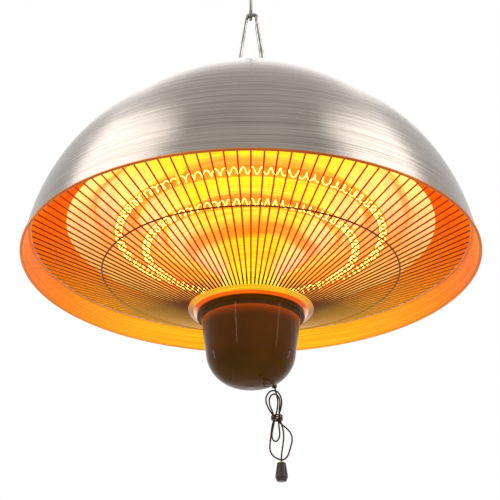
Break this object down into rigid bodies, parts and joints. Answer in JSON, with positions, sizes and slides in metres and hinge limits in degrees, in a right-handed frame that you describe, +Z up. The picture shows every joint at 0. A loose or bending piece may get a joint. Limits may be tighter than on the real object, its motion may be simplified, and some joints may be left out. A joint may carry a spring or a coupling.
{
  "type": "hanging patio heater",
  "caption": "Electric patio heater that hangs on a snap hook: brushed dome shade, two glowing ring tubes under a wire guard, switch cup and pull cord with a fluted knob.",
  "frame": {"origin": "foot of the ceiling hook's stud, on the ceiling face", "axes": "+Z up along the stud and the heater's axis, -Y the front, +X to the right seen from the front"},
  "size_m": [0.6047, 0.6046, 0.8162],
  "materials": {
    "hook_steel": "polished zinc-plated steel",
    "snap_steel": "polished plated steel wire",
    "shade_metal": "brushed, lacquered inside and out",
    "reflector_metal": "bright rolled aluminium",
    "cap_metal": "brushed",
    "stem_metal": "plated steel",
    "guard_metal": "bright drawn wire",
    "hub_metal": "polished pressed steel",
    "glass_tube": "clear quartz",
    "filament_metal": "wound resistance wire",
    "ceramic": "glazed white ceramic",
    "lead_sleeve": "woven heat-proof sleeve",
    "cup_black": "glossy dark enamel",
    "knob_black": "glossy dark moulding",
    "cord_dark": "braided cord",
    "gland_black": "matt moulding",
    "grommet_rubber": "silicone rubber",
    "switch_plastic": "heat-proof moulding",
    "contact_brass": "bare brass",
    "clip_steel": "spring steel strip"
  },
  "bodies": {
    "ceiling": {"ceiling_hook": "hook_steel"},
    "snap": {"snap_hook_body": "snap_steel", "gate_pin": "snap_steel"},
    "gate": {"snap_hook_gate": "snap_steel", "gate_stop_pin": "snap_steel", "gate_pusher": "snap_steel", "gate_spring": "clip_steel"},
    "heater": {"eye_nut": "stem_metal", "top_cap": "cap_metal", "cable_gland": "gland_black", "gland_nut": "gland_black", "crown_nut": "stem_metal", "crown_washer": "stem_metal", "crown_grommet": "grommet_rubber", "terminal_block": "ceramic", "terminal_screws": "contact_brass", "dome_shade": "shade_metal", "stem_tube": "stem_metal", "spacer_tube": "cap_metal", "reflector": "reflector_metal", "outer_heating_tube": "glass_tube", "inner_heating_tube": "glass_tube", "outer_filament": "filament_metal", "inner_filament": "filament_metal", "outer_tube_caps": "ceramic", "inner_tube_caps": "ceramic", "tube_clips": "clip_steel", "heater_leads": "lead_sleeve", "guard_wires": "guard_metal", "guard_outer_ring": "guard_metal", "guard_mid_ring": "guard_metal", "guard_hub_plate": "hub_metal", "hub_neck": "hub_metal", "hub_washer": "stem_metal", "hub_nut": "stem_metal", "cup_carrier": "clip_steel", "hub_cup": "cup_black", "cup_screws": "stem_metal", "cord_bush": "knob_black", "switch_bracket": "clip_steel", "switch_housing": "switch_plastic", "switch_lid": "switch_plastic", "switch_spring": "clip_steel", "cam_pin": "stem_metal", "switch_contacts": "contact_brass", "switch_leads": "lead_sleeve"},
    "pull": {"switch_plunger": "switch_plastic", "pull_cord": "cord_dark", "cord_tie": "cord_dark", "pull_knob": "knob_black", "knob_ferrule": "contact_brass"},
    "cam": {"switch_cam": "switch_plastic"}
  },
  "joints": [
    {"name": "snap_swing", "type": "hinge", "parent": "ceiling", "child": "snap", "pos_m": [0, 0, -0.073], "axis": [0, 1, 0], "range_deg": [-20, 20]},
    {"name": "gate_open", "type": "hinge", "parent": "snap", "child": "gate", "pos_m": [0.0177, 0, -0.1535], "axis": [0, -1, 0], "range_deg": [0, 11], "stiffness_Nm_per_rad": 0.05, "springref_deg": -11.46},
    {"name": "heater_swing", "type": "hinge", "parent": "snap", "child": "heater", "pos_m": [0, 0, -0.1808], "axis": [1, 0, 0], "range_deg": [-20, 20]},
    {"name": "cord_pull", "type": "slide", "parent": "heater", "child": "pull", "axis": [0, 0, -1], "range_m": [0, 0.008], "stiffness_N_per_m": 600, "springref_m": -0.004, "deforming": ["switch_spring"]},
    {"name": "cam_turn", "type": "hinge", "parent": "heater", "child": "cam", "pos_m": [0.02258, 0.01656, -0.61216], "axis": [-0.5914, 0.8064, 0], "continuous": true}
  ]
}
